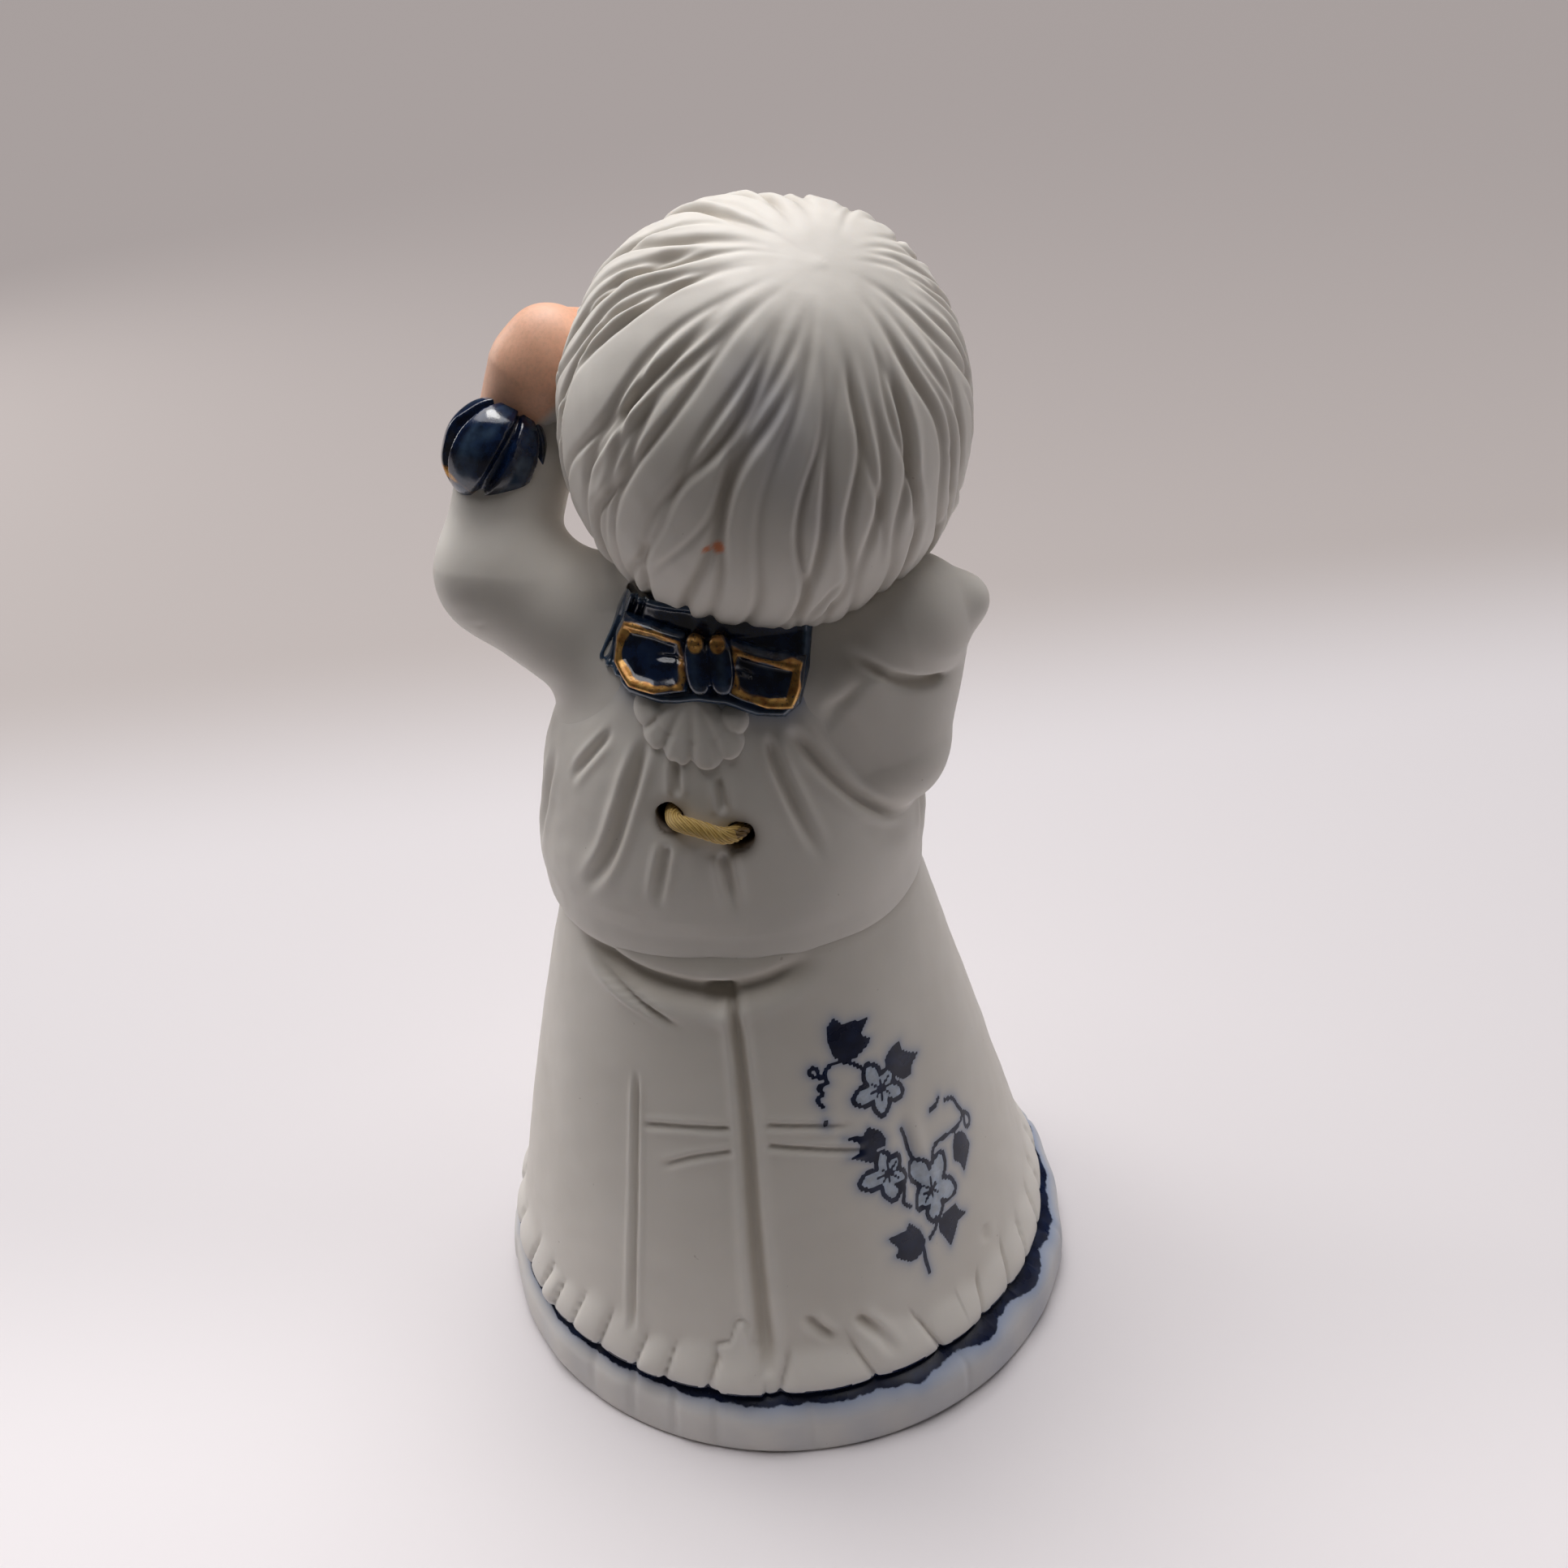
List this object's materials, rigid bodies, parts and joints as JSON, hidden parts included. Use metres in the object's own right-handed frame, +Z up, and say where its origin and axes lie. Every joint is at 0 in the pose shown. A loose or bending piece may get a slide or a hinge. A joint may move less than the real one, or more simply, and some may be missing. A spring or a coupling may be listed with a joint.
{
  "type": "hand bell",
  "caption": "Hollow porcelain hand bell shaped as a child in a long skirt, one arm raised, with a clapper on a cord inside",
  "frame": {"origin": "centre of the foot rim, on the table plane", "axes": "+Z up; the child faces -Y and its own left hand is on the +X side"},
  "size_m": [0.0698, 0.0698, 0.1246],
  "materials": {
    "white_bisque": "matte",
    "cobalt_glaze": "gloss",
    "flesh_enamel": "satin",
    "cord": "satin",
    "clapper_bisque": "matte"
  },
  "bodies": {
    "figure": {"bell_skirt": "white_bisque", "blouse": "white_bisque", "head": "flesh_enamel", "hair": "white_bisque", "left_sleeve": "white_bisque", "left_cuff": "cobalt_glaze", "left_hand": "flesh_enamel", "right_sleeve": "white_bisque", "right_cuff": "cobalt_glaze", "right_hand": "flesh_enamel", "back_collar": "cobalt_glaze", "bow_knot": "cobalt_glaze", "bow_loop_left": "cobalt_glaze", "bow_loop_right": "cobalt_glaze", "neck_frill": "white_bisque", "front_collar": "cobalt_glaze", "cord_stitch": "cord"},
    "cord_loop": {"cord_strands": "cord", "gathering_knot": "cord"},
    "clapper_line": {"doubled_cord": "cord", "stopper_knot": "cord"},
    "clapper_bead": {"clapper": "clapper_bisque"}
  },
  "joints": [
    {"name": "clapper_swing_fore_aft", "type": "hinge", "parent": "figure", "child": "cord_loop", "pos_m": [0.0034, 0.01415, 0.0699], "axis": [-0.9693, 0, -0.2459], "range_deg": [-2.5, 32]},
    {"name": "clapper_swing_sideways", "type": "hinge", "parent": "cord_loop", "child": "clapper_line", "pos_m": [0.0034, 0.01415, 0.0614], "axis": [0, 1, 0], "range_deg": [-10, 10]},
    {"name": "clapper_spin", "type": "hinge", "parent": "clapper_line", "child": "clapper_bead", "pos_m": [0.0034, 0.01415, 0.019], "axis": [0, 0, 1], "continuous": true}
  ]
}
